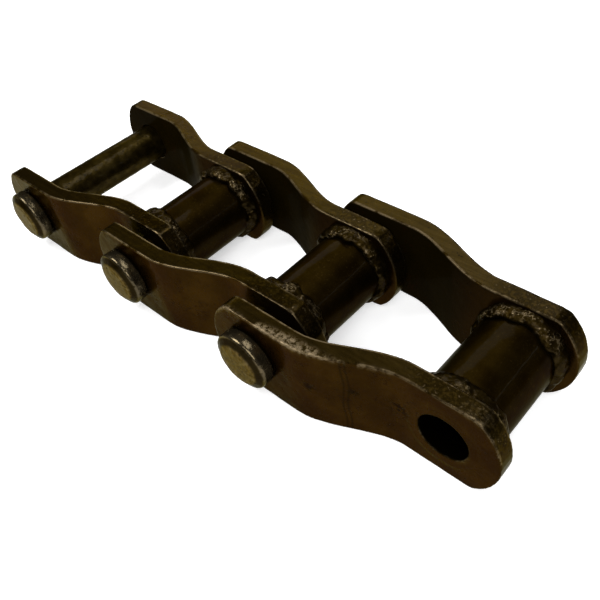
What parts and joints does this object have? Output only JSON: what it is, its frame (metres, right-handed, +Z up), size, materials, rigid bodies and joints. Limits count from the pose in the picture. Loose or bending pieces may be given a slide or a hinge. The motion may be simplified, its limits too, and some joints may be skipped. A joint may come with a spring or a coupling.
{
  "type": "chain strand",
  "caption": "Short strand of welded steel drag chain: cranked sidebars welded to round barrels and hinged on headed pins, open at both ends for joining.",
  "frame": {"origin": "on the surface the strand lies on, under the middle of its bounding box", "axes": "+X along the strand from the free pin to the open barrel, +Y away from the pin heads, +Z up"},
  "size_m": [0.2764, 0.096, 0.0397],
  "materials": {
    "sidebar_steel": "hot-rolled bar under a dark brown oil film, satin, worn bright along its edges",
    "barrel_steel": "dark oiled steel tube, smoother than the bars, with soft long highlights",
    "weld_metal": "lumpy dark weld metal with ripples, slag specks and bright scraped spots",
    "pin_steel": "oiled pin steel, its head faces worn to a dull bronze brown with hammer marks"
  },
  "bodies": {
    "link_1": {"link_1_near_sidebar": "sidebar_steel", "link_1_far_sidebar": "sidebar_steel", "link_1_barrel": "barrel_steel", "link_1_pin": "pin_steel", "link_1_near_upper_weld": "weld_metal", "link_1_near_lower_weld": "weld_metal", "link_1_far_upper_weld": "weld_metal", "link_1_far_lower_weld": "weld_metal"},
    "link_2": {"link_2_near_sidebar": "sidebar_steel", "link_2_far_sidebar": "sidebar_steel", "link_2_barrel": "barrel_steel", "link_2_pin": "pin_steel", "link_2_near_upper_weld": "weld_metal", "link_2_near_lower_weld": "weld_metal", "link_2_far_upper_weld": "weld_metal", "link_2_far_lower_weld": "weld_metal"},
    "link_3": {"link_3_near_sidebar": "sidebar_steel", "link_3_far_sidebar": "sidebar_steel", "link_3_barrel": "barrel_steel", "link_3_pin": "pin_steel", "link_3_near_upper_weld": "weld_metal", "link_3_near_lower_weld": "weld_metal", "link_3_far_upper_weld": "weld_metal", "link_3_far_lower_weld": "weld_metal"}
  },
  "joints": [
    {"name": "link_2_hinge", "type": "hinge", "parent": "link_1", "child": "link_2", "pos_m": [-0.0398, 0.002, 0.01985], "axis": [0, 1, 0], "range_deg": [-90, 90]},
    {"name": "link_3_hinge", "type": "hinge", "parent": "link_2", "child": "link_3", "pos_m": [0.0383, 0.002, 0.01985], "axis": [0, 1, 0], "range_deg": [-90, 90]}
  ]
}
